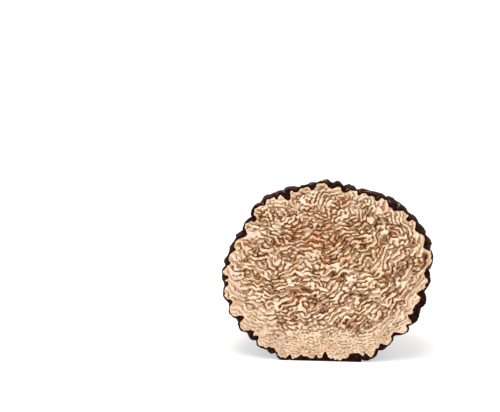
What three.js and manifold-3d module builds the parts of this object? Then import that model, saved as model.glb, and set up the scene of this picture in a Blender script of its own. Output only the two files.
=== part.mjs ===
// Half a black truffle, cut through the middle. It stands on its flattened underside with the cut
// face upright. The rind is raised into polygonal warts, and the flesh inside is one with it, so
// the half is a single solid.
//
// Millimetres, +Z up. The cut face looks along -Y, the dome of the rind bulges along +Y, and the
// origin is in the middle of the flat spot that the half rests on.
import * as THREE from "three";
import { ConvexHull } from "three/addons/math/ConvexHull.js";
import { mergeVertices } from "three/addons/utils/BufferGeometryUtils.js";
import Module from "manifold-3d";

// The cut face: its centre, and the radii from there out to the wart tips, one every 15 degrees,
// from +X round towards +Z.
const CUT_Y = -7.3;
const CENTRE_X = 1.2;
const CENTRE_HEIGHT = 24.3;
const RIM_RADII = [
  26.9, 27.6, 27.1, 26.1, 24.7, 23.9, 24.8, 24.3, 24.9, 25.8, 24.8, 25.9,
  27.3, 27.8, 27.8, 27.6, 27.2, 27.2, 27.0, 26.9, 26.4, 25.4, 26.9, 26.5,
];

// The warts that the cut passes through, in degrees round the face.
const RIM_WARTS = [
  10.5, 23.5, 40.5, 54, 64, 74, 83, 94.5, 106, 115, 127, 138, 149.5, 161, 171, 180, 192.5, 204.5, 215,
  230, 244, 253, 263, 275, 286, 297, 310.5, 323, 332, 344, 356,
];

// How far the body reaches behind the cut, which goes through its middle.
const DEPTH = 24.5;

// Broad swellings and dents of the dome: the direction that each lies in from the body's centre,
// how far it rises, and how tightly it is drawn together.
const LOBES = [
  { toward: [-0.05, 0.5, -0.86], rise: 2.4, tightness: 7 }, // the heel that the half rests on
  { toward: [0.95, 0.3, 0.05], rise: 0.8, tightness: 6 },
  { toward: [-0.45, 0.75, 0.5], rise: 1.8, tightness: 9 },
  { toward: [-0.8, 0.5, -0.3], rise: 1.2, tightness: 9 },
  { toward: [-0.12, 0.35, 0.93], rise: -1.1, tightness: 8 },
  { toward: [0.2, 0.75, 0.65], rise: -1.0, tightness: 14 },
  { toward: [0.35, 0.9, -0.25], rise: -1.5, tightness: 12 },
];
const LOBES_WHOLE_AT = 0.3; // how far behind the cut, as a sine, the lobes reach full height

// The warts: how many the whole fungus has, and their shape from the grooves between them to
// their tips. Each ring is at a share of the way out from the tip, sunk by a share of the rise.
const WART_COUNT = 500;
const WART_RISE = 1.4;
const RISE_VARIATION = 0.3; // of the tips' height, as a share of the rise
const TIP_LEAN = 0.034; // how far the tips move sideways, on the sphere of directions
const RINGS = [
  { out: 0.34, sunk: 0.1 },
  { out: 0.72, sunk: 0.4 },
];
const CORNER_SUNK = 1.1;
const GROOVE_SUNK = 0.94;
const CANDIDATES = 14; // tried for each wart that is placed
const RELAXING_ROUNDS = 2;
const SEED = 20457;

const centre = new THREE.Vector3(CENTRE_X, CUT_Y, CENTRE_HEIGHT);

// A seeded run of numbers from 0 to 1.
function randomRun(seed) {
  let state = seed;
  return () => {
    state = (Math.imul(state, 1664525) + 1013904223) >>> 0;
    return state / 2 ** 32;
  };
}

// The rim's radius at an angle round the face, on a smooth closed curve through RIM_RADII.
function rimRadius(angle) {
  const count = RIM_RADII.length;
  const place = ((angle / (2 * Math.PI)) * count + count) % count;
  const i = Math.floor(place);
  const t = place - i;
  const [a, b, c, d] = [-1, 0, 1, 2].map((k) => RIM_RADII[(i + k + count) % count]);
  return b + 0.5 * t * (c - a + t * (2 * a - 5 * b + 4 * c - d + t * (3 * (b - c) + d - a)));
}

// How far the broad lobes lift the surface in a direction. They fade out towards the cut.
function lobeRise(direction) {
  const fade = THREE.MathUtils.smoothstep(direction.y, 0, LOBES_WHOLE_AT);
  return LOBES.reduce((sum, { toward, rise, tightness }) => {
    const near = new THREE.Vector3(...toward).normalize().dot(direction) - 1;
    return sum + rise * fade * Math.exp(tightness * near);
  }, 0);
}

// A point on the body, lifted above the envelope of the wart tips by lift.
function bodyPoint(direction, lift = 0) {
  const { x, y, z } = direction;
  const radius = rimRadius(Math.atan2(z, x));
  const normal = new THREE.Vector3(x / radius, y / DEPTH, z / radius).normalize();
  return new THREE.Vector3(radius * x, DEPTH * y, radius * z)
    .addScaledVector(normal, lobeRise(direction) + lift)
    .add(centre);
}

// The first middles of the warts, as directions: those at the cut, then each the one of several
// random candidates that is furthest from the warts already there.
function scatteredWarts() {
  const random = randomRun(SEED);
  const chosen = RIM_WARTS.map((degrees) => {
    const angle = THREE.MathUtils.degToRad(degrees);
    return new THREE.Vector3(Math.cos(angle), 0, Math.sin(angle));
  });
  const places = chosen.map((direction) => bodyPoint(direction));
  while (chosen.length < WART_COUNT) {
    let best = { gap: -1 };
    for (let i = 0; i < CANDIDATES; i++) {
      const height = 2 * random() - 1;
      const turn = 2 * Math.PI * random();
      const flat = Math.sqrt(1 - height * height);
      const direction = new THREE.Vector3(flat * Math.cos(turn), flat * Math.sin(turn), height);
      const place = bodyPoint(direction);
      const gap = places.reduce((least, p) => Math.min(least, p.distanceToSquared(place)), Infinity);
      if (gap > best.gap) best = { gap, direction, place };
    }
    chosen.push(best.direction);
    places.push(best.place);
  }
  return chosen;
}

// The cells that the grooves divide the sphere of directions into: a corner for each triangle of
// neighbouring warts, and round each wart its corners in order with the neighbour across each.
function wartCells(directions) {
  const hull = new ConvexHull().setFromPoints(directions);
  const index = new Map(directions.map((direction, i) => [direction, i]));
  const corners = [];
  const following = directions.map(() => new Map());
  for (const face of hull.faces) {
    const edges = [face.edge, face.edge.next, face.edge.prev];
    const [a, b, c] = edges.map((edge) => index.get(edge.head().point));
    for (const [site, from, to] of [[a, b, c], [b, c, a], [c, a, b]])
      following[site].set(from, { to, corner: corners.length });
    corners.push(face.normal.clone().normalize());
  }
  const cells = following.map((steps) => {
    const cell = [];
    let from = steps.keys().next().value;
    while (cell.length < steps.size) {
      const { to, corner } = steps.get(from);
      cell.push({ corner, across: to });
      from = to;
    }
    return cell;
  });
  return { corners, cells };
}

// The middles of the warts, relaxed: all but those at the cut move to the middle of their cells,
// again and again, so that they cover the body evenly but not regularly.
function wartDirections() {
  let directions = scatteredWarts();
  for (let round = 0; round < RELAXING_ROUNDS; round++) {
    const { corners, cells } = wartCells(directions);
    directions = directions.map((site, i) => {
      if (i < RIM_WARTS.length) return site;
      const middle = new THREE.Vector3();
      for (const { corner } of cells[i]) middle.add(corners[corner]);
      return middle.normalize();
    });
  }
  return directions;
}

// The whole fungus as vertices and triangles: each wart is a low faceted pyramid on its cell.
function wartySurface() {
  const random = randomRun(SEED + 1);
  const directions = wartDirections();
  const { corners, cells } = wartCells(directions);
  const vertices = [];
  const triangles = [];
  const put = (direction, sunk) =>
    vertices.push(...bodyPoint(direction, -sunk * WART_RISE).toArray()) / 3 - 1;
  const between = (a, b, share) => a.clone().lerp(b, share).normalize();

  const cornerIds = corners.map((corner) => put(corner, CORNER_SUNK));
  const grooveIds = new Map();
  const grooveId = (site, across, a, b) => {
    const key = Math.min(site, across) + "-" + Math.max(site, across);
    if (!grooveIds.has(key)) {
      const middle = between(corners[a], corners[b], 0.5);
      grooveIds.set(key, put(middle, GROOVE_SUNK));
    }
    return grooveIds.get(key);
  };

  directions.forEach((site, i) => {
    const cell = cells[i];
    const tipSunk = RISE_VARIATION * (random() - 0.5);
    const lean = new THREE.Vector3(random(), random(), random()).subScalar(0.5);
    const tip = site.clone().addScaledVector(lean, TIP_LEAN).normalize();
    const topId = put(tip, tipSunk);
    const ringIds = RINGS.map(({ out, sunk }) =>
      cell.map(({ corner }) =>
        put(between(tip, corners[corner], out), tipSunk + (1 - tipSunk) * sunk),
      ),
    );
    cell.forEach(({ corner, across }, k) => {
      const n = (k + 1) % cell.length;
      const [inner, outer] = ringIds;
      const middle = grooveId(i, across, corner, cell[n].corner);
      triangles.push([topId, inner[k], inner[n]]);
      triangles.push([inner[k], outer[k], outer[n]], [inner[k], outer[n], inner[n]]);
      triangles.push([outer[k], cornerIds[corner], middle]);
      triangles.push([outer[k], middle, outer[n]]);
      triangles.push([outer[n], middle, cornerIds[cell[n].corner]]);
    });
  });
  return { vertices, triangles };
}

// The geometry of a box between two corners, with its shared vertices merged.
function boxBetween(low, high) {
  const size = new THREE.Vector3().subVectors(high, low);
  const middle = new THREE.Vector3().addVectors(low, high).multiplyScalar(0.5);
  const box = new THREE.BoxGeometry(size.x, size.y, size.z).translate(middle.x, middle.y, middle.z);
  box.deleteAttribute("normal");
  box.deleteAttribute("uv");
  return mergeVertices(box);
}

const wasm = await Module();
wasm.setup();

function solidOf(vertProperties, triVerts) {
  return new wasm.Manifold(new wasm.Mesh({ numProp: 3, vertProperties, triVerts }));
}

function solidBox(low, high) {
  const box = boxBetween(low, high);
  return solidOf(box.attributes.position.array, new Uint32Array(box.index.array));
}

// The half: the whole fungus less what lies before the cut and below the flat spot.
function truffleHalf() {
  const reach = 60;
  const { vertices, triangles } = wartySurface();
  const whole = solidOf(new Float32Array(vertices), new Uint32Array(triangles.flat()));
  const beforeCut = solidBox(
    new THREE.Vector3(-reach, -reach, -reach),
    new THREE.Vector3(reach, CUT_Y, 2 * reach),
  );
  const belowFloor = solidBox(
    new THREE.Vector3(-reach, -reach, -reach),
    new THREE.Vector3(reach, reach, 0),
  );
  const half = whole.subtract(beforeCut).subtract(belowFloor).getMesh();
  return new THREE.BufferGeometry()
    .setAttribute("position", new THREE.BufferAttribute(half.vertProperties, 3))
    .setIndex(new THREE.BufferAttribute(half.triVerts, 1));
}

const rind = new THREE.MeshStandardMaterial({
  color: 0x2d1c16,
  roughness: 0.75,
  metalness: 0,
  flatShading: true,
});

const truffle = new THREE.Mesh(truffleHalf(), rind);
truffle.name = "truffle_half";

const group = new THREE.Group();
group.add(truffle);

export default group;
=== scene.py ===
"""Half a black truffle, cut through the middle and standing on its flattened underside.

The half is one closed mesh: the dome of the rind, raised into warts by the same seeded rule as its
solid, and the cut face, which carries the veins of the flesh. Shapes are worked out in millimetres
and go into Blender in metres. +Z is up, and the cut face looks along -Y.
"""

import math

import bmesh
import bpy
import numpy as np
from mathutils import Matrix, Vector
from mathutils.geometry import delaunay_2d_cdt


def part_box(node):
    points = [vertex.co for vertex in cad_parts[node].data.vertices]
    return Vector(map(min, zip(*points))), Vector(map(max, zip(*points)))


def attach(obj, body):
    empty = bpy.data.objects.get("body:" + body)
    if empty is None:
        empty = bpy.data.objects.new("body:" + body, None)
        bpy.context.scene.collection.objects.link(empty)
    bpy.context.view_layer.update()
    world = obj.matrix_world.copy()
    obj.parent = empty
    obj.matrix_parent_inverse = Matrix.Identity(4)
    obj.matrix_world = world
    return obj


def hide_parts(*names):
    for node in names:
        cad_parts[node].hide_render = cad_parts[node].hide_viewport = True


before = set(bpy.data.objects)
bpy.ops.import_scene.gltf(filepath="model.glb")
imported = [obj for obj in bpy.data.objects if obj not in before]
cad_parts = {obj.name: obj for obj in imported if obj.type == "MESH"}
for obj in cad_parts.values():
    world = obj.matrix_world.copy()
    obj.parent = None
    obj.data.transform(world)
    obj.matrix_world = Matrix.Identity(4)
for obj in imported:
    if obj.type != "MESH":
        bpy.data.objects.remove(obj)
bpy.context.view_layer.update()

MM = 0.001
TURN = 2 * math.pi
TINY = 1e-9  # keeps divisions away from nought

# --- The body, as its solid has it ---------------------------------------------------------------

# The cut face: its centre, and the radii from there out to the wart tips, one every 15 degrees,
# from +X round towards +Z.
CUT_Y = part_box("truffle_half")[0].y / MM
CENTRE_X = 1.2
CENTRE_HEIGHT = 24.3
CENTRE = np.array([CENTRE_X, CUT_Y, CENTRE_HEIGHT])
RIM_RADII = np.array([
    26.9, 27.6, 27.1, 26.1, 24.7, 23.9, 24.8, 24.3, 24.9, 25.8, 24.8, 25.9,
    27.3, 27.8, 27.8, 27.6, 27.2, 27.2, 27.0, 26.9, 26.4, 25.4, 26.9, 26.5,
])

# The warts that the cut passes through, in degrees round the face.
RIM_WARTS = np.array([
    10.5, 23.5, 40.5, 54, 64, 74, 83, 94.5, 106, 115, 127, 138, 149.5, 161, 171, 180, 192.5, 204.5,
    215, 230, 244, 253, 263, 275, 286, 297, 310.5, 323, 332, 344, 356,
])

# The dome behind the cut: how far it reaches, and its broad swellings and dents, each with the
# direction that it lies in, how far it rises, and how tightly it is drawn together.
DEPTH = 24.5
LOBES = [
    ((-0.05, 0.5, -0.86), 2.4, 7),
    ((0.95, 0.3, 0.05), 0.8, 6),
    ((-0.45, 0.75, 0.5), 1.8, 9),
    ((-0.8, 0.5, -0.3), 1.2, 9),
    ((-0.12, 0.35, 0.93), -1.1, 8),
    ((0.2, 0.75, 0.65), -1.0, 14),
    ((0.35, 0.9, -0.25), -1.5, 12),
]
LOBES_WHOLE_AT = 0.3  # how far behind the cut, as a sine, the lobes reach full height

# The warts: how many the whole fungus has, and their shape from the grooves between them to their
# tips. What is sunk is a share of the rise.
WART_COUNT = 500
WART_RISE = 1.4
RISE_VARIATION = 0.3  # of the tips' height, as a share of the rise
TIP_LEAN = 0.034  # how far the tips move sideways, on the sphere of directions
CORNER_SUNK = 1.1  # where grooves meet
GROOVE_SUNK = 0.94  # halfway along a groove
CANDIDATES = 14  # tried for each wart that is placed
RELAXING_ROUNDS = 2

# --- What the fine mesh adds ---------------------------------------------------------------------

SECTOR_STEPS = 7  # divisions of each triangle from a wart's tip to a stretch of its groove
SHORT_GROOVE = 0.006  # stretches shorter than this, on the sphere of directions, close up
GROOVE_BOW = 1.5  # the power that a groove's bottom sinks by, from halfway along it to its ends
WART_FALL = [(0.8, 2), (0.2, 8)]  # from tip to groove: shares of the fall, and each one's power
GROOVE_WANDER = 0.2
WANDER_LENGTH = 3.4  # the wavelength that the grooves wander by
RIND_GRAIN = [(2.6, 0.07), (1.1, 0.05), (0.62, 0.03)]  # wavelength and height of each grain
WELD = 0.001  # points of the dome that are nearer each other than this become one
CUT_SNAP = 0.03  # points of the dome this near the cut go onto it
ON_CUT = 0.001  # how near the cut a point is that belongs to the cut face
SAME_SPOT = 1e-6  # points of the cut face that are nearer each other than this are one
KEEP_INSIDE = 1  # the kind of triangulation that fills its outline and no more
FACE_STEP = 0.2
FACE_REACH = 1.15  # of the cut face's grid, as a share of the greatest radius
FACE_MARGIN = 0.14  # how far in from the outline the grid begins
VEIN_DEPTH = 0.05  # how deep the flesh is sunk between the veins
SUNK_UNDER = (0.4, -0.4)  # heights above a vein's edge where that begins, and where it is whole
SUNK_WITHIN = (0, 0.8)  # the same in distances in from the outline

# The bake map: the discs that the cut face and the dome fill.
MAP_REACH = 27.9  # the radius on the cut face that fills its disc
MAP_RADIUS = 0.285
FACE_MAP = np.array([0.295, 0.295])
DOME_MAP = np.array([0.705, 0.705])

# --- The veins -----------------------------------------------------------------------------------
# Places on the face are measured across and up from its middle. Where something fades in, a pair
# says where it begins and where it is whole.

# The veins are ribbons with dark edges, and between two of them the flesh is tan. They start as
# seeded waves that run round a point above and to the left of the face, bent by slow drifts, on a
# grid in the face's plane. A few rounds of growth then favour the vein's width over all others, so
# that the waves join up into ribbons, as in a fingerprint.
VEIN_PIVOT = np.array([-12, 36])
VEIN_SPREAD = 30  # how far from there the waves are as long across as they are along
WAVE_COUNT = 26
WAVE_LENGTH = 1.14
WAVELENGTH_SPREAD = 0.6  # how far the waves' lengths are from that, as a power of e
TILT_JITTER = 0.6  # of each wave, as a share of the step from one wave's tilt to the next
ROUND_BIAS = 2.0  # how much the waves keep to circles round the pivot
WAVE_BENDS = [(12, 0.8), (3.4, 0.35)]  # wavelength and reach of each drift
WAVE_START = 0.5  # the strength that the waves start with
GRID_STEP = 0.15
GRID_SIZE = (384, 400)  # up and across
VEIN_LENGTH = 1.17  # from the middle of one vein to the next
GROWTH_ROUNDS = 7
GROWTH_PACE = 0.3  # how far each round goes
GROWTH_RATE = 0.6  # of waves as long as a vein
GROWTH_LIMIT = 1.4  # on the height that each round starts with

# They lean further in a low band, which fades in from the left, and at the upper right.
LEAN = math.radians(25)  # how much further
BAND_UNDER, BAND_OVER, BAND_FROM_LEFT = (1, -5), (-20, -13), (-18, -8)
CORNER_FROM_LEFT, CORNER_OVER = (8, 14), (0, 6)

# The grown pattern is bent again by small drifts, crowded together past some heights, and at the
# bottom crossed with itself on its side, so that short curls are left.
VEIN_BENDS = [(9, 0.2), (1.1, 0.08)]
VEIN_CROWDING = [(8, 0.01), (-12, 0.028)]  # above the one height and below the other, how much
CROSSED_UNDER = (-10, -17)
CROSSED_SHARE = 0.5
VEIN_SWELLS = [(2.4, 0.2), (6.5, 0.15)]  # wavelength and reach of what widens and narrows veins
PATCHES = 3.4  # the wavelength of the drift whose peaks are patches of nearly whole flesh
PATCH_FROM = 0.95  # the drift's height where a patch begins
PATCH_RISE = 0.9  # how much the pattern rises there, as a share of the drift's rise
VEIN_EDGE = -0.1  # the height where a vein's dark edge runs
CALM_EDGE = 0.15  # how much lower it runs where the veins are calm

# A vein's two sides are told apart by the pattern's heights to both sides of a point, in a
# direction that drifts slowly.
SIDE_REACH = 0.13
SIDE_DRIFT = 5  # the wavelength that the direction drifts by
SIDE_EASE = 0.3  # keeps the reach small where the direction turns over
SIDE_STEEPEST = 0.7  # the pattern's steepest slope, as a share of a plain wave's

# The veins are calm, which is paler and fainter, near the rind and at the bottom.
LOW, HIGH = (3, -12), (4, 14)
RIM_CALM, RIM_CALM_LOW, RIM_CALM_HIGH = 0.35, 0.4, -0.15  # near the rind, and added low and high
RIM_REACH, RIM_REACH_LOW, RIM_WHOLE = 5, 6, 0.5  # from how far in, added low, and where whole
BOTTOM_CALM = 0.6
BOTTOM = (-12, -20)
CALM_DRIFT = (7, 0.15)  # wavelength and reach, as in the other drifts below
CALMEST = 0.85

# They are warm in colour round a place above the middle, and most tan where warm and not calm.
WARM_PLACE = (-2.5, 9.5)
WARM_SIZE = (60, 30)  # across and up, as squares of lengths
WARM_DRIFT = (5, 0.25)
TAN_SHARE = 0.85
TAN_DRIFT = (3.5, 0.25)
TAN_WARM, TAN_HIGH = 0.3, 0.15

# The rind where the cut goes through it: how thick most of it is, the least that seeded drifts
# leave of it, how far they go, and where it is thicker.
RIND_THICKNESS = 0.45
THINNEST_RIND = 0.25
RAGGEDNESS = 0.2
RAGGED_LENGTHS = (1.3, 3)  # the drifts' wavelengths
THICK_RIND = [  # in degrees round the cut, in millimetres more, and how many degrees wide
    (1, 0.8, 2.5), (20, 0.2, 4), (34, 0.15, 3), (46.5, 0.5, 2), (64, 0.25, 3), (83, 0.8, 3),
    (106, 0.3, 3), (117, 1.5, 2.6), (142, 0.3, 3), (155, 0.3, 4), (210, 0.9, 1.8), (221, 0.4, 2.8),
    (225, 0.6, 1.8), (237.5, 0.5, 1.2), (247.5, 1.1, 1.3), (254, 1.5, 1.8), (258, 0.6, 2.5),
    (263.5, 1.2, 1.2), (269.5, 2.1, 2.2), (275, 0.4, 3), (281, 0.4, 1.5), (286.5, 1.9, 3),
    (290.5, 1.4, 2.3), (295, 1.6, 1.5), (300, 0.5, 1.5), (306.5, 1.6, 1.6), (318, 0.4, 1.5),
    (332.5, 2.3, 2), (337, 0.6, 3), (343.5, 1.3, 3.5), (348, 1.0, 1.8), (359, 0.5, 2),
]

# --- Seeded numbers ------------------------------------------------------------------------------

SEED = 20457  # of where the warts lie, as in the solid
TIP_SEED = SEED + 1  # of how high their tips are and how they lean, as in the solid
GROOVE_SEED = SEED + 10
GRAIN_SEED = SEED + 20
SWELL_SEED = SEED + 60
PATCH_SEED = SEED + 64
CALM_SEED = SEED + 70
WARM_SEED = SEED + 71
TAN_SEED = SEED + 72
RAGGED_SEED = SEED + 80
BEND_SEED = SEED + 95
SIDE_SEED = SEED + 101
WAVE_SEED = SEED + 5040
WAVE_BEND_SEED = SEED + 5050

DRIFT_WAVES = 20
LEAST_NUMBER = 0.6  # a drift's wave numbers run from this to 1 more, times that of its wavelength


def random_run(seed):
    """A seeded run of numbers from 0 to 1, the same as the solid's."""
    state = seed
    while True:
        state = (state * 1664525 + 1013904223) & 0xFFFFFFFF
        yield state / 2**32


def drift(points, wavelength, seed):
    """Smooth seeded noise at the points, of about that wavelength and of unit strength."""
    random = random_run(seed)
    total = np.zeros(len(points))
    for _ in range(DRIFT_WAVES):
        height = 2 * next(random) - 1
        turn = TURN * next(random)
        flat = math.sqrt(1 - height**2)
        wave = np.array([flat * math.cos(turn), height, flat * math.sin(turn)])
        wave *= TURN / wavelength * (LEAST_NUMBER + next(random))
        total += np.cos(points @ wave + TURN * next(random))
    return total / math.sqrt(DRIFT_WAVES / 2)


def face_drift(flat, wavelength, seed):
    """The same noise at points of the face, which are given across and up."""
    points = np.stack([flat[:, 0], np.zeros(len(flat)), flat[:, 1]], axis=-1)
    return drift(points, wavelength, seed)


def smoothstep(low, high, x):
    t = np.clip((x - low) / (high - low), 0, 1)
    return t * t * (3 - 2 * t)


def normalised(vectors):
    return vectors / np.linalg.norm(vectors, axis=-1, keepdims=True)


# --- The warty body ------------------------------------------------------------------------------


def rim_radius(angle):
    """The rim's radius at an angle round the face, on a smooth closed curve through RIM_RADII."""
    count = len(RIM_RADII)
    place = (angle / TURN * count) % count
    i = np.floor(place).astype(int)
    t = place - i
    a, b, c, d = (RIM_RADII[(i + k) % count] for k in (-1, 0, 1, 2))
    return b + 0.5 * t * (c - a + t * (2 * a - 5 * b + 4 * c - d + t * (3 * (b - c) + d - a)))


def lobe_rise(direction):
    """How far the broad lobes lift the surface in each direction. They fade out at the cut."""
    fade = smoothstep(0, LOBES_WHOLE_AT, direction[:, 1])
    total = np.zeros(len(direction))
    for toward, rise, tightness in LOBES:
        near = direction @ normalised(np.array(toward)) - 1
        total += rise * fade * np.exp(tightness * near)
    return total


def body_point(direction, lift=0):
    """Points on the body, lifted above the envelope of the wart tips by lift."""
    x, y, z = direction.T
    radius = rim_radius(np.arctan2(z, x))
    normal = normalised(np.stack([x / radius, y / DEPTH, z / radius], axis=-1))
    rise = (lobe_rise(direction) + lift)[:, None]
    return np.stack([radius * x, DEPTH * y, radius * z], axis=-1) + normal * rise + CENTRE


def scattered_warts():
    """The first middles of the warts, as directions: those at the cut, then each the one of several
    random candidates that is furthest from the warts already there."""
    random = random_run(SEED)
    angles = np.radians(RIM_WARTS)
    chosen = np.stack([np.cos(angles), np.zeros(len(angles)), np.sin(angles)], axis=-1)
    places = body_point(chosen)
    while len(chosen) < WART_COUNT:
        draws = np.array([next(random) for _ in range(2 * CANDIDATES)]).reshape(-1, 2)
        height = 2 * draws[:, 0] - 1
        turn = TURN * draws[:, 1]
        flat = np.sqrt(1 - height**2)
        tries = np.stack([flat * np.cos(turn), flat * np.sin(turn), height], axis=-1)
        tried = body_point(tries)
        gaps = ((tried[:, None] - places[None]) ** 2).sum(-1).min(1)
        best = np.argmax(gaps)
        chosen = np.vstack([chosen, tries[best]])
        places = np.vstack([places, tried[best]])
    return chosen


def wart_cells(sites):
    """The corners where grooves meet, the warts round each, and for each stretch of groove beside a
    wart its wart and its two corners, in an order that faces out."""
    hull = bmesh.new()
    for site in sites:
        hull.verts.new(site)
    bmesh.ops.convex_hull(hull, input=hull.verts)
    hull.verts.index_update()
    triangles = np.array([[v.index for v in face.verts] for face in hull.faces])
    hull.free()
    a, b, c = (sites[triangles[:, k]] for k in range(3))
    corners = normalised(np.cross(b - a, c - a))
    corners *= np.sign((corners * a).sum(-1))[:, None]
    beside = {}
    for corner, triangle in enumerate(triangles):
        for k in range(3):
            pair = tuple(sorted((triangle[k], triangle[k - 1])))
            beside.setdefault(pair, []).append(corner)
    same = np.arange(len(corners))
    sectors = []
    for (i, j), (f, g) in sorted(beside.items()):
        if np.linalg.norm(corners[f] - corners[g]) < SHORT_GROOVE:
            same[same == same[g]] = same[f]
            continue
        out = np.dot(sites[i], np.cross(corners[f], corners[g])) > 0
        sectors.append((i, f, g) if out else (i, g, f))
        sectors.append((j, g, f) if out else (j, f, g))
    return corners[same], triangles, np.array(sectors)


def wart_directions():
    """The middles of the warts, all but those at the cut moved to the middle of their cells."""
    sites = scattered_warts()
    fixed = len(RIM_WARTS)
    for _ in range(RELAXING_ROUNDS):
        corners, triangles, _ = wart_cells(sites)
        middles = np.zeros_like(sites)
        np.add.at(middles, triangles, corners[:, None])
        sites[fixed:] = normalised(middles)[fixed:]
    return sites


def triangle_grid(steps):
    """The weights of a divided triangle's points on its corners, and its small triangles."""
    rows = [[(i, j) for j in range(steps + 1 - i)] for i in range(steps + 1)]
    index = {place: k for k, place in enumerate(sum(rows, []))}
    weights = np.array([(steps - i - j, i, j) for i, j in index]) / steps
    small = []
    for i, j in index:
        if i + j < steps:
            small.append((index[i, j], index[i + 1, j], index[i, j + 1]))
        if i + j < steps - 1:
            small.append((index[i + 1, j], index[i + 1, j + 1], index[i, j + 1]))
    return weights, np.array(small)


def wart_surface():
    """The rind's points, triangles and height from groove to tip, before the cut is made."""
    random = random_run(TIP_SEED)
    sites = wart_directions()
    corners, _, sectors = wart_cells(sites)
    draws = np.array([next(random) for _ in range(4 * WART_COUNT)]).reshape(-1, 4)
    tips_sunk = RISE_VARIATION * (draws[:, 0] - 0.5)
    tips = normalised(sites + TIP_LEAN * (draws[:, 1:] - 0.5))

    weights, small = triangle_grid(SECTOR_STEPS)
    ends = np.stack([tips[sectors[:, 0]], corners[sectors[:, 1]], corners[sectors[:, 2]]], axis=1)
    behind = body_point(ends.reshape(-1, 3))[:, 1].reshape(-1, 3).max(1) > CUT_Y
    sectors, ends = sectors[behind], ends[behind]
    direction = normalised(np.einsum("pk,skc->spc", weights, ends)).reshape(-1, 3)
    out = 1 - weights[:, 0]
    along = weights[:, 2] / np.maximum(out, TINY)
    ends_sunk = CORNER_SUNK - GROOVE_SUNK
    groove = GROOVE_SUNK + ends_sunk * np.abs(2 * along - 1) ** GROOVE_BOW
    fall = sum(share * out**power for share, power in WART_FALL)
    top = tips_sunk[sectors[:, 0]][:, None]
    sunk = (top + (groove - top) * fall).ravel()

    place = body_point(direction)
    bend = [drift(place, WANDER_LENGTH, GROOVE_SEED + k) for k in range(3)]
    direction = normalised(direction + GROOVE_WANDER / RIM_RADII.mean() * np.stack(bend, axis=-1))
    grain = sum(
        height * drift(place, wavelength, GRAIN_SEED + k)
        for k, (wavelength, height) in enumerate(RIND_GRAIN)
    )
    points = body_point(direction, -sunk * WART_RISE + grain)
    points[:, 2] = np.maximum(points[:, 2], 0)
    offsets = len(weights) * np.arange(len(sectors))[:, None, None]
    return points, (small[None] + offsets).reshape(-1, 3), 1 - sunk


# --- The cut face --------------------------------------------------------------------------------


def outline_distance(points, starts, ends):
    """How far points in the plane lie inside a closed outline: negative outside it."""
    nearest = np.full(len(points), np.inf)
    crossings = np.zeros(len(points), int)
    for a, b in zip(starts, ends, strict=True):
        edge = b - a
        share = np.clip((points - a) @ edge / (edge @ edge), 0, 1)
        nearest = np.minimum(nearest, ((a + share[:, None] * edge - points) ** 2).sum(-1))
        if a[1] != b[1]:
            spans = (a[1] > points[:, 1]) != (b[1] > points[:, 1])
            reach = a[0] + (points[:, 1] - a[1]) / (b[1] - a[1]) * edge[0]
            crossings += spans & (points[:, 0] < reach)
    return np.sqrt(nearest) * np.where(crossings % 2 == 1, 1, -1)


def face_grid():
    """Points of a grid of equal triangles over the cut face."""
    reach = FACE_REACH * RIM_RADII.max()
    row_step = FACE_STEP * math.sqrt(3) / 2
    rows = np.arange(-reach, reach, row_step)
    columns = np.arange(-reach, reach, FACE_STEP)
    x, z = np.meshgrid(columns, rows)
    x = x + np.where(np.arange(len(rows)) % 2, FACE_STEP / 2, 0)[:, None]
    return np.stack([x.ravel(), z.ravel()], axis=-1) + CENTRE[[0, 2]]


def vein_waves():
    """Each wave of the vein pattern: its two wave numbers, its phase and its strength."""
    random = random_run(WAVE_SEED)
    waves = []
    for i in range(WAVE_COUNT):
        step = i + 0.5 + TILT_JITTER * (next(random) - 0.5)
        tilt = math.pi * (step / WAVE_COUNT - 0.5)
        number = TURN / WAVE_LENGTH * math.exp(WAVELENGTH_SPREAD * (2 * next(random) - 1))
        strength = math.exp(ROUND_BIAS * (math.cos(2 * tilt) - 1) / 2)
        phase = TURN * next(random)
        waves.append((-number * math.sin(tilt), number * math.cos(tilt), phase, strength))
    total = math.sqrt(sum(wave[3] ** 2 for wave in waves) / 2)
    return [(a, b, phase, strength / total) for a, b, phase, strength in waves]


def bent_by(flat, bends, seed):
    """How far seeded drifts move points of the face."""
    moved = np.zeros_like(flat)
    for k, (wavelength, reach) in enumerate(bends):
        for axis in (0, 1):
            moved[:, axis] += reach * face_drift(flat, wavelength, seed + 2 * k + axis)
    return moved


def leaning_share(flat):
    """How much of the leaning veins there is at points of the face."""
    x, z = flat.T
    band = smoothstep(*BAND_UNDER, z) * smoothstep(*BAND_OVER, z)
    band *= smoothstep(*BAND_FROM_LEFT, x)
    return np.maximum(band, smoothstep(*CORNER_FROM_LEFT, x) * smoothstep(*CORNER_OVER, z))


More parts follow.
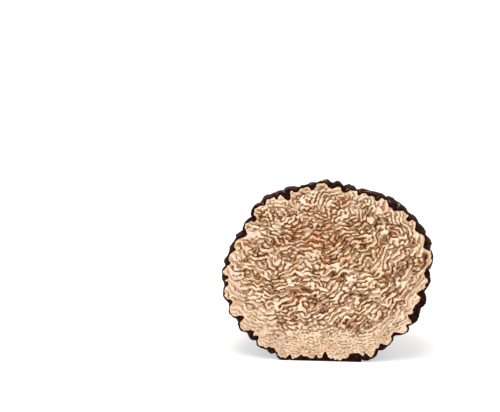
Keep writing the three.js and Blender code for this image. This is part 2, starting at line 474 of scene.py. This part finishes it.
def grown_veins():
    """The height of the vein pattern on a grid over the face."""
    rows, columns = (GRID_STEP * (np.arange(size) - size / 2) for size in GRID_SIZE)
    x, z = np.meshgrid(columns, rows)
    flat = np.stack([x.ravel(), z.ravel()], axis=-1)
    around = flat - VEIN_PIVOT
    turn = np.arctan2(around[:, 0], -around[:, 1])
    bent = np.column_stack([VEIN_SPREAD * turn, -np.hypot(*around.T)])
    bent += bent_by(flat, WAVE_BENDS, WAVE_BEND_SEED)
    cos, sin = math.cos(LEAN), math.sin(LEAN)
    leant = bent @ np.array([[cos, -sin], [sin, cos]])
    share = leaning_share(flat)
    height = np.zeros(len(bent))
    for a, b, phase, strength in vein_waves():
        for place, weight in ((bent, 1 - share), (leant, share)):
            wave = np.cos(place @ np.array([a, b]) + phase)
            height += WAVE_START * strength * weight * wave
    height = height.reshape(GRID_SIZE)

    up, across = (np.fft.fftfreq(size, GRID_STEP) for size in GRID_SIZE)
    across = across[: GRID_SIZE[1] // 2 + 1]
    number = (up[:, None] ** 2 + across[None] ** 2) * VEIN_LENGTH**2
    growth = GROWTH_RATE - (1 - number) ** 2
    for _ in range(GROWTH_ROUNDS):
        height = np.clip(height, -GROWTH_LIMIT, GROWTH_LIMIT)
        waves = np.fft.rfft2(height - GROWTH_PACE * height**3)
        height = np.fft.irfft2(waves / (1 - GROWTH_PACE * growth), s=GRID_SIZE)
    return height / math.sqrt(2 * (height**2).mean())


def grid_value(grid, flat):
    """The grid's value at points of the face."""
    place = flat[:, ::-1] / GRID_STEP + np.array(GRID_SIZE) / 2
    low = np.floor(place).astype(int)
    up, across = (place - low).T
    a, b, c, d = (
        grid[(low[:, 0] + i) % GRID_SIZE[0], (low[:, 1] + j) % GRID_SIZE[1]]
        for i, j in ((0, 0), (0, 1), (1, 0), (1, 1))
    )
    return (1 - up) * ((1 - across) * a + across * b) + up * ((1 - across) * c + across * d)


def vein_fields(flat, calm):
    """At each point of the face, how far above a vein's edge the pattern stands: negative between
    the veins. And on which side of a vein the point lies, from -1 to 1."""
    grid = grown_veins()
    bent = flat + bent_by(flat, VEIN_BENDS, BEND_SEED)
    for past, crowding in VEIN_CROWDING:
        off = flat - [0, past]
        bent += crowding * np.maximum(math.copysign(1, past) * off[:, 1:], 0) * off
    crossed = CROSSED_SHARE * smoothstep(*CROSSED_UNDER, flat[:, 1])
    above = (1 - crossed) * grid_value(grid, bent) + crossed * grid_value(grid, bent[:, ::-1])
    above += CALM_EDGE * calm - VEIN_EDGE
    for k, (wavelength, reach) in enumerate(VEIN_SWELLS):
        above += reach * face_drift(flat, wavelength, SWELL_SEED + k)
    above += PATCH_RISE * np.maximum(face_drift(flat, PATCHES, PATCH_SEED) - PATCH_FROM, 0)

    toward = bent_by(flat, [(SIDE_DRIFT, 1)], SIDE_SEED)
    toward *= SIDE_REACH / (SIDE_EASE + np.linalg.norm(toward, axis=1, keepdims=True))
    steepest = SIDE_STEEPEST * 2 * SIDE_REACH * TURN / VEIN_LENGTH
    side = (grid_value(grid, bent + toward) - grid_value(grid, bent - toward)) / steepest
    return above, side


def rind_thickness(flat):
    """How thick the rind is where the cut goes through it, out from each point of the face."""
    angle = np.degrees(np.arctan2(flat[:, 1], flat[:, 0]))
    ragged = sum(
        face_drift(flat, wavelength, RAGGED_SEED + k)
        for k, wavelength in enumerate(RAGGED_LENGTHS)
    )
    total = RIND_THICKNESS + RAGGEDNESS * ragged / 2
    for at, more, width in THICK_RIND:
        apart = (angle - at + 180) % 360 - 180
        total += more * np.exp(-((apart / width) ** 2))
    return np.maximum(total, THINNEST_RIND)


def vein_mood(flat, skin):
    """How calm, how warm and how tan the veins are at points of the face that lie skin in from its
    outline."""
    z = flat[:, 1]
    low, high = smoothstep(*LOW, z), smoothstep(*HIGH, z)
    calm = RIM_CALM + RIM_CALM_LOW * low + RIM_CALM_HIGH * high
    calm *= smoothstep(RIM_REACH + RIM_REACH_LOW * low, RIM_WHOLE, skin)
    calm += BOTTOM_CALM * smoothstep(*BOTTOM, z)
    wavelength, reach = CALM_DRIFT
    calm += reach * face_drift(flat, wavelength, CALM_SEED)
    calm = np.clip(calm, 0, CALMEST)

    wavelength, reach = WARM_DRIFT
    off = (flat - WARM_PLACE) ** 2 / WARM_SIZE
    warm = np.exp(-off.sum(-1)) + reach * face_drift(flat, wavelength, WARM_SEED)

    wavelength, reach = TAN_DRIFT
    tan = TAN_SHARE + reach * face_drift(flat, wavelength, TAN_SEED)
    tan = tan + TAN_WARM * warm + TAN_HIGH * high - calm
    return calm, np.clip(warm, 0, 1), np.clip(tan, 0, 1)


# --- The closed mesh -----------------------------------------------------------------------------


def new_attribute(mesh, name, values):
    kind = "FLOAT_VECTOR" if values.ndim == 2 else "FLOAT"
    attribute = mesh.attributes.new(name, kind, "POINT")
    field = "vector" if values.ndim == 2 else "value"
    attribute.data.foreach_set(field, values.astype(np.float32).ravel())


def vertex_places(mesh):
    places = np.empty(3 * len(mesh.vertices))
    mesh.vertices.foreach_get("co", places)
    return places.reshape(-1, 3)


def cut_dome():
    """The rind behind the cut, as a bmesh that is open there, with its heights in a layer."""
    points, triangles, rise = wart_surface()
    mesh = bpy.data.meshes.new("dome")
    mesh.from_pydata(points.tolist(), [], triangles.tolist())
    new_attribute(mesh, "rise", rise)
    dome = bmesh.new()
    dome.from_mesh(mesh)
    bpy.data.meshes.remove(mesh)
    bmesh.ops.remove_doubles(dome, verts=dome.verts, dist=WELD)
    everything = dome.verts[:] + dome.edges[:] + dome.faces[:]
    plane = {"plane_co": (0, CUT_Y, 0), "plane_no": (0, -1, 0)}
    bmesh.ops.bisect_plane(dome, geom=everything, dist=CUT_SNAP, clear_outer=True, **plane)
    bmesh.ops.triangulate(dome, faces=[face for face in dome.faces if len(face.verts) > 3])
    dome.verts.index_update()
    return dome


def close_with_face(dome):
    """Fills the open side of the dome with the cut face, and returns its outline, as the start and
    the end of each edge."""
    rim = [edge for edge in dome.edges if edge.is_boundary]
    around = sorted({vertex for edge in rim for vertex in edge.verts}, key=lambda v: v.index)
    for vertex in around:
        vertex.co.y = CUT_Y
    order = {vertex: k for k, vertex in enumerate(around)}
    outline = np.array([(v.co.x, v.co.z) for v in around])
    edges = [(order[edge.verts[0]], order[edge.verts[1]]) for edge in rim]
    starts, ends = (outline[[edge[k] for edge in edges]] for k in (0, 1))
    grid = face_grid()
    inside = grid[outline_distance(grid, starts, ends) > FACE_MARGIN]
    spots = [Vector(spot) for spot in np.vstack([outline, inside])]
    placed, _, faces, *_ = delaunay_2d_cdt(spots, edges, [], KEEP_INSIDE, SAME_SPOT)
    vertices = around + [dome.verts.new((x, CUT_Y, z)) for x, z in placed[len(around):]]
    for a, b, c in faces:
        dome.faces.new((vertices[a], vertices[b], vertices[c])).material_index = 1
    for edge in rim:
        edge.smooth = False
    return starts, ends


def dress_face(mesh, starts, ends):
    """Gives the cut face what its material reads, and sinks the flesh between the veins. The vein
    pattern is how far a point is above a vein's edge, on which side of a vein it lies and how warm
    its colour is. The mood is how calm and how tan the veins are, and how far in from the rind the
    point lies."""
    places = vertex_places(mesh)
    on_face = places[:, 1] < CUT_Y + ON_CUT
    flat = places[on_face][:, [0, 2]]
    skin = outline_distance(flat, starts, ends)
    middle = flat - CENTRE[[0, 2]]
    calm, warm, tan = vein_mood(middle, skin)
    above, side = vein_fields(middle, calm)
    within = np.abs(skin) - rind_thickness(middle)
    fields = {"vein_pattern": (above, side, warm), "vein_mood": (calm, tan, within)}
    for name, columns in fields.items():
        values = np.zeros((len(places), 3))
        values[on_face] = np.column_stack(columns)
        new_attribute(mesh, name, values)
    sunk = smoothstep(*SUNK_UNDER, above) * smoothstep(*SUNK_WITHIN, skin)
    places[on_face, 1] += VEIN_DEPTH * sunk
    mesh.vertices.foreach_set("co", places.ravel())


def bake_map(mesh):
    """A map of the whole piece: the cut face as it is, and the dome unrolled from its back."""
    places = vertex_places(mesh)
    flat = (places - CENTRE)[:, [0, 2]] / MAP_REACH
    direction = normalised(places - CENTRE)
    across = np.maximum(np.hypot(direction[:, 0], direction[:, 2]), TINY)
    unrolled = np.arccos(direction[:, 1]) / (TURN / 4) / across
    dome = direction[:, [0, 2]] * unrolled[:, None] * [-1, 1]
    corners = np.empty(len(mesh.loops), int)
    mesh.loops.foreach_get("vertex_index", corners)
    kinds = np.empty(len(mesh.polygons), int)
    mesh.polygons.foreach_get("material_index", kinds)
    on_face = np.repeat(kinds == 1, 3)[:, None]
    face_place = FACE_MAP + MAP_RADIUS * flat[corners]
    dome_place = DOME_MAP + MAP_RADIUS * dome[corners]
    layer = mesh.uv_layers.new(name="OFBake")
    placed = np.where(on_face, face_place, dome_place)
    layer.uv.foreach_set("vector", placed.astype(np.float32).ravel())


def truffle_mesh():
    dome = cut_dome()
    starts, ends = close_with_face(dome)
    bmesh.ops.recalc_face_normals(dome, faces=dome.faces)
    mesh = bpy.data.meshes.new("truffle")
    dome.to_mesh(mesh)
    dome.free()
    dress_face(mesh, starts, ends)
    bake_map(mesh)
    mesh.transform(Matrix.Scale(MM, 4))
    return mesh


# --- Materials -----------------------------------------------------------------------------------


def linear(red, green, blue):
    """A colour given in the screen's 0 to 255 as the linear colour that the shaders use."""
    shares = np.array([red, green, blue]) / 255
    return (*np.where(shares > 0.04045, ((shares + 0.055) / 1.055) ** 2.4, shares / 12.92), 1)


class Nodes:
    """A material's node tree, with a short call for each kind of node that is used here. Every
    input is a number, a vector or another node's output."""

    def __init__(self, name):
        self.material = bpy.data.materials.new(name)
        self.material.use_nodes = True
        self.tree = self.material.node_tree
        self.shader = self.tree.nodes["Principled BSDF"]

    def add(self, kind, inputs, output=0, **settings):
        node = self.tree.nodes.new("ShaderNode" + kind)
        for name, value in settings.items():
            setattr(node, name, value)
        for socket, value in inputs.items():
            self.feed(node.inputs[socket], value)
        return node.outputs[output]

    def feed(self, socket, value):
        if isinstance(value, bpy.types.NodeSocket):
            self.tree.links.new(value, socket)
        else:
            socket.default_value = value

    def surface(self, colour, roughness, normal, specular):
        """Feeds the shader: the specular level as a plain number."""
        self.feed(self.shader.inputs["Base Color"], colour)
        self.feed(self.shader.inputs["Roughness"], roughness)
        self.feed(self.shader.inputs["Normal"], normal)
        self.shader.inputs["Specular IOR Level"].default_value = specular

    def place(self):
        """The point in millimetres."""
        inputs = {0: self.add("TexCoord", {}, "Object"), 1: (1 / MM, 1 / MM, 1 / MM)}
        return self.add("VectorMath", inputs, operation="MULTIPLY")

    def attribute(self, name, output="Fac"):
        return self.add("Attribute", {}, output, attribute_name=name)

    def parts(self, vector, *which):
        """Some of a vector's three numbers, by their places in it."""
        return [self.add("SeparateXYZ", {0: vector}, k) for k in which]

    def math(self, operation, *values):
        return self.add("Math", dict(enumerate(values)), operation=operation)

    def noise(self, place, scale, detail, roughness=0.5):
        inputs = {"Vector": place, "Scale": scale, "Detail": detail, "Roughness": roughness}
        return self.add("TexNoise", inputs, "Fac")

    def between(self, value, low, high, to_low=0.0, to_high=1.0):
        """The value's place from low to high, eased, as a number from to_low to to_high."""
        inputs = {"Value": value, "From Min": low, "From Max": high}
        inputs |= {"To Min": to_low, "To Max": to_high}
        return self.add("MapRange", inputs, interpolation_type="SMOOTHSTEP")

    def mix(self, share, a, b, blend="MIX"):
        """A mix of two colours, which are the node's inputs 6 and 7 and its output 2."""
        inputs = {"Factor": share, 6: a, 7: b}
        return self.add("Mix", inputs, 2, data_type="RGBA", blend_type=blend)

    def mix_part(self, share, part, a, b):
        """A mix by the product of two shares."""
        return self.mix(self.math("MULTIPLY", share, part), a, b)

    def ramp(self, value, stops):
        """The colour at a value among stops of (value, colour)."""
        low, high = stops[0][0], stops[-1][0]
        share = self.add("MapRange", {"Value": value, "From Min": low, "From Max": high})
        output = self.add("ValToRGB", {"Fac": share})
        elements = output.node.color_ramp.elements
        while len(elements) < len(stops):
            elements.new(1)
        for element, (place, colour) in zip(elements, stops, strict=True):
            element.position = (place - low) / (high - low)
            element.color = linear(*colour)
        return output

    def bump(self, height, distance, strength):
        inputs = {"Height": height, "Distance": distance * MM, "Strength": strength}
        return self.add("Bump", inputs, "Normal")


# A noise is given as its scale, its detail and, for some, its roughness. What eases in from one
# value to another is given as the two, and then as what it is at both, where that isn't 0 and 1.

CREAM = linear(254, 226, 195)
SHADE = linear(236, 198, 160)  # a vein's colour beside its edge
SHADE_WIDTH = 0.45
CREST = linear(255, 237, 222)
CREST_RANGE = (1.25, 1.9)  # how high above the edge the pale crests begin and are whole
CREST_NOISE, CREST_SWELL = (0.35, 1), (0.3, 0.7, -0.5, 0.5)  # which shifts that

TAN = linear(180, 132, 89)
TAN_EASE = 0.3  # how far the tan takes to come in past the edge of a vein
TAN_LOPSIDED = 0.7  # how much shorter that is on a vein's one side, and longer on the other
TAN_WITHIN = (0.1, 0.9)  # how far in from the rind

LINE = linear(84, 45, 13)  # the dark edges of the veins
LINE_WIDTH = 0.76
CALM_NARROWING = 0.5  # of the lines where the veins are calm
LINE_SHARPNESS = 4
LINE_STRENGTH = 0.8
LINE_LOPSIDED = 0.94  # how much stronger the line is on a vein's one side, and weaker on the other
CALM_LINE = 0.33  # how much fainter the lines are where the veins are calm
PALE_LINE = 0.4  # and in the pale patches
LINE_NOISE, LINE_SWELL = (0.7, 1), (0.3, 0.7, -0.25, 0.25)
LINE_WITHIN = (0.2, 1.1, 0.3, 1.0)  # how far in from the rind, and the line's share at both

CALM_FLESH = linear(219, 201, 183)
CALM_SHARE = 0.35
PALE_FLESH = linear(250, 232, 222)  # of the patches where the veins nearly fade out
PALE_SHARE = 0.35
PALE_NOISE, PALE_RANGE = (0.3, 2), (0.6, 0.7)
FLESH_TONES = [(0.3, (236, 230, 226)), (0.5, (252, 250, 247)), (0.7, (255, 247, 238))]
TONE_NOISE = (0.45, 4)
WARM_TINT = linear(236, 208, 190)
FLESH_ROUGHNESS = (0.4, -0.4, 0.62, 0.5)  # by the height above a vein's edge
FLESH_RELIEF = (-0.4, 0.4)  # the same
FLESH_GRAIN, FLESH_GRAIN_SHARE = (7, 2), 0.3
FLESH_BUMP = (0.04, 0.6)  # height and strength
FLESH_SPECULAR = 0.02

SECTION_EDGE = (-0.07, 0.07)  # from the rind's dark section to the flesh
SECTION_COLOURS = [(0.4, (24, 8, 5)), (0.7, (54, 30, 22))]
SECTION_NOISE = (1.2, 3)

# The rind's colour from groove to tip: the near-black grooves are partly painted shade, and the
# paler tips partly painted light.
RIND_AND_SHADE_COLOURS = [  # from the grooves up to the tips
    (-0.1, (14, 3, 1)),
    (0.25, (30, 10, 5)),
    (0.6, (46, 19, 10)),
    (1.05, (70, 36, 22)),
]
MOTTLE_NOISE, MOTTLE_SWELL = (0.8, 4, 0.6), (0.25, 0.75, -0.35, 0.35)
RUST = linear(70, 30, 20)
RUST_NOISE, RUST_RANGE = (0.13, 1), (0.5, 0.7, 0, 0.5)
RIND_ROUGHNESS = (0.3, 0.7, 0.5, 0.75)
RIND_BUMP_NOISE = (3.0, 4, 0.65)
RIND_BUMP = (0.12, 0.8)
RIND_SPECULAR = 0.1

# Painted highlights: pale strands of light wander along the rind just behind the cut, high on the
# half.
PAINTED_HIGHLIGHT = linear(204, 184, 176)
HIGHLIGHT_ABOVE = (38, 42)
HIGHLIGHT_WIDTH = (0.22, 0.06)  # to each side of a strand's middle
WANDER_NOISE, WANDER_RANGE = (0.5, 3), (0.35, 0.65, 0.1, 2.0)  # of its distance behind the cut
HIGHLIGHT_NOISE, HIGHLIGHT_RANGE = (0.4, 1), (0.4, 0.5, 0, 0.85)


def vein_line(nodes, above, calm):
    """How strong the dark line along a vein is at a height above its edge."""
    width = nodes.math("MULTIPLY_ADD", calm, -LINE_WIDTH * CALM_NARROWING, LINE_WIDTH)
    off = nodes.math("DIVIDE", nodes.math("ABSOLUTE", above), width)
    sharp = nodes.math("POWER", off, LINE_SHARPNESS)
    return nodes.math("EXPONENT", nodes.math("MULTIPLY", sharp, -1.0))


def line_strength(nodes, place, side, calm, pale, skin):
    """How strong the dark lines are at most, on each side of the veins."""
    strength = nodes.between(nodes.noise(place, *LINE_NOISE), *LINE_SWELL)
    lopsided = nodes.math("MULTIPLY_ADD", side, LINE_LOPSIDED, LINE_STRENGTH)
    strength = nodes.math("ADD", strength, lopsided)
    strength = nodes.math("SUBTRACT", strength, nodes.math("MULTIPLY", calm, CALM_LINE))
    strength = nodes.math("SUBTRACT", strength, nodes.math("MULTIPLY", pale, PALE_LINE))
    strength.node.use_clamp = True
    return nodes.math("MULTIPLY", strength, nodes.between(skin, *LINE_WITHIN))


def flesh_material():
    """The cut face: veins of cream and brown, and the thin dark section of the rind round them."""
    nodes = Nodes("flesh")
    place = nodes.place()
    above, side, warmth = nodes.parts(nodes.attribute("vein_pattern", "Vector"), 0, 1, 2)
    calm, tan, skin = nodes.parts(nodes.attribute("vein_mood", "Vector"), 0, 1, 2)
    pale = nodes.between(nodes.noise(place, *PALE_NOISE), *PALE_RANGE)

    colour = nodes.mix(nodes.between(above, 0, SHADE_WIDTH), SHADE, CREAM)
    swell = nodes.between(nodes.noise(place, *CREST_NOISE), *CREST_SWELL)
    crest = nodes.between(nodes.math("ADD", above, swell), *CREST_RANGE)
    colour = nodes.mix(crest, colour, CREST)

    ease = nodes.math("MULTIPLY_ADD", side, -TAN_EASE * TAN_LOPSIDED, TAN_EASE)
    ease = nodes.math("MAXIMUM", ease, TAN_EASE * (1 - TAN_LOPSIDED))
    between_veins = nodes.between(nodes.math("DIVIDE", above, ease), 1, -1)
    tan = nodes.math("MULTIPLY", tan, nodes.between(skin, *TAN_WITHIN))
    colour = nodes.mix_part(between_veins, tan, colour, TAN)

    strength = line_strength(nodes, place, side, calm, pale, skin)
    colour = nodes.mix_part(vein_line(nodes, above, calm), strength, colour, LINE)
    colour = nodes.mix_part(calm, CALM_SHARE, colour, CALM_FLESH)
    colour = nodes.mix_part(pale, PALE_SHARE, colour, PALE_FLESH)
    tone = nodes.ramp(nodes.noise(place, *TONE_NOISE), FLESH_TONES)
    colour = nodes.mix(1.0, colour, tone, "MULTIPLY")
    colour = nodes.mix(warmth, colour, WARM_TINT, "MULTIPLY")
    section = nodes.ramp(nodes.noise(place, *SECTION_NOISE), SECTION_COLOURS)
    colour = nodes.mix(nodes.between(skin, *SECTION_EDGE), section, colour)

    roughness = nodes.between(above, *FLESH_ROUGHNESS)
    veins = nodes.between(above, *FLESH_RELIEF)
    relief = nodes.math("MULTIPLY_ADD", nodes.noise(place, *FLESH_GRAIN), FLESH_GRAIN_SHARE, veins)
    nodes.surface(colour, roughness, nodes.bump(relief, *FLESH_BUMP), FLESH_SPECULAR)
    return nodes.material


def rind_material():
    """The rind: near black in the grooves and browner towards the warts' tips, partly its own
    colour and partly painted shade and light, and with painted highlights: pale strands along the
    top of the cut."""
    nodes = Nodes("rind")
    place = nodes.place()
    mottle = nodes.noise(place, *MOTTLE_NOISE)
    level = nodes.math("ADD", nodes.attribute("rise"), nodes.between(mottle, *MOTTLE_SWELL))
    # darker in the grooves and paler at the tips: partly the rind's own colour, partly painted
    # shade and light
    colour = nodes.ramp(level, RIND_AND_SHADE_COLOURS)
    rusty = nodes.between(nodes.noise(place, *RUST_NOISE), *RUST_RANGE)
    colour = nodes.mix(rusty, colour, RUST, "SCREEN")

    depth, height = nodes.parts(place, 1, 2)
    wander = nodes.between(nodes.noise(place, *WANDER_NOISE), *WANDER_RANGE)
    behind = nodes.math("SUBTRACT", depth, CUT_Y)
    off = nodes.math("ABSOLUTE", nodes.math("SUBTRACT", behind, wander))
    highlight = nodes.between(nodes.noise(place, *HIGHLIGHT_NOISE), *HIGHLIGHT_RANGE)
    highlight = nodes.math("MULTIPLY", highlight, nodes.between(height, *HIGHLIGHT_ABOVE))
    # paints pale highlights in thin strands just behind the cut, high on the half
    colour = nodes.mix_part(nodes.between(off, *HIGHLIGHT_WIDTH), highlight, colour, PAINTED_HIGHLIGHT)

    roughness = nodes.between(mottle, *RIND_ROUGHNESS)
    grain = nodes.noise(place, *RIND_BUMP_NOISE)
    nodes.surface(colour, roughness, nodes.bump(grain, *RIND_BUMP), RIND_SPECULAR)
    return nodes.material


def make_truffle():
    piece = bpy.data.objects.new("truffle", truffle_mesh())
    bpy.context.scene.collection.objects.link(piece)
    piece.data.materials.append(rind_material())
    piece.data.materials.append(flesh_material())
    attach(piece, "root")
    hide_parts("truffle_half")


# --- The studio ----------------------------------------------------------------------------------

IMAGE_WIDTH = 500
IMAGE_HEIGHT = 412
FACE_PIXEL = (328, 272)  # where the middle of the cut face shows in the photograph
MM_PER_PIXEL = 0.259  # at the middle of the cut face
CAMERA_AZIMUTH = 1.5
CAMERA_ELEVATION = 18
LENS = 125
SENSOR = 36

KEY_PLACE = (-50, -190, 600)
KEY_SIZE = 300
KEY_POWER = 2.2
SKY_STRENGTH = 0.63
FLOOR_REACH = 3000
FLOOR_DROP = 0.05  # keeps the floor clear of the flat spot that rests on it
FLOOR_COLOUR = (0.76, 0.74, 0.7, 1)
FLOOR_GLOW = (0.96, 0.97, 1, 1)
FLOOR_GLOW_STRENGTH = 0.5


def look_at(thing, target):
    thing.rotation_euler = (target - thing.location).to_track_quat("-Z", "Y").to_euler()


def make_camera():
    """A camera that sees the cut face where the photograph has it."""
    data = bpy.data.cameras.new("camera")
    data.lens = LENS
    data.sensor_width = SENSOR
    camera = bpy.data.objects.new("camera", data)
    bpy.context.scene.collection.objects.link(camera)
    bpy.context.scene.camera = camera
    azimuth, elevation = math.radians(CAMERA_AZIMUTH), math.radians(CAMERA_ELEVATION)
    east, north = math.sin(azimuth), -math.cos(azimuth)
    level = math.cos(elevation)
    toward_camera = Vector((east * level, north * level, math.sin(elevation)))
    right = Vector((math.cos(azimuth), math.sin(azimuth), 0))
    up = toward_camera.cross(right)
    distance = IMAGE_WIDTH * MM_PER_PIXEL * LENS / SENSOR
    face = Vector(CENTRE)
    across = (IMAGE_WIDTH / 2 - FACE_PIXEL[0]) * MM_PER_PIXEL
    above = (FACE_PIXEL[1] - IMAGE_HEIGHT / 2) * MM_PER_PIXEL
    camera.location = (face + toward_camera * distance) * MM
    look_at(camera, (face + right * across + up * above) * MM)


def make_key_light():
    """A square soft light that looks at the truffle."""
    data = bpy.data.lights.new("key", "AREA")
    data.size = KEY_SIZE * MM
    data.energy = KEY_POWER
    light = bpy.data.objects.new("key", data)
    bpy.context.scene.collection.objects.link(light)
    light.location = Vector(KEY_PLACE) * MM
    look_at(light, Vector(CENTRE) * MM)


def make_sky():
    world = bpy.data.worlds.new("studio")
    bpy.context.scene.world = world
    world.use_nodes = True
    sky = world.node_tree.nodes["Background"]
    sky.inputs["Color"].default_value = (1, 1, 1, 1)
    sky.inputs["Strength"].default_value = SKY_STRENGTH


def make_floor():
    """A white floor that glows a little, so that it melts into the white behind it."""
    mesh = bpy.data.meshes.new("floor")
    half = FLOOR_REACH * MM
    low = -FLOOR_DROP * MM
    corners = [(-half, -half, low), (half, -half, low), (half, half, low), (-half, half, low)]
    mesh.from_pydata(corners, [], [(0, 1, 2, 3)])
    floor = bpy.data.objects.new("floor", mesh)
    bpy.context.scene.collection.objects.link(floor)
    nodes = Nodes("floor")
    nodes.shader.inputs["Base Color"].default_value = FLOOR_COLOUR
    nodes.shader.inputs["Roughness"].default_value = 1
    nodes.shader.inputs["Specular IOR Level"].default_value = 0
    nodes.shader.inputs["Emission Color"].default_value = FLOOR_GLOW
    nodes.shader.inputs["Emission Strength"].default_value = FLOOR_GLOW_STRENGTH
    mesh.materials.append(nodes.material)


bpy.context.scene.view_settings.view_transform = "Standard"
make_camera()
make_truffle()
make_key_light()
make_sky()
make_floor()
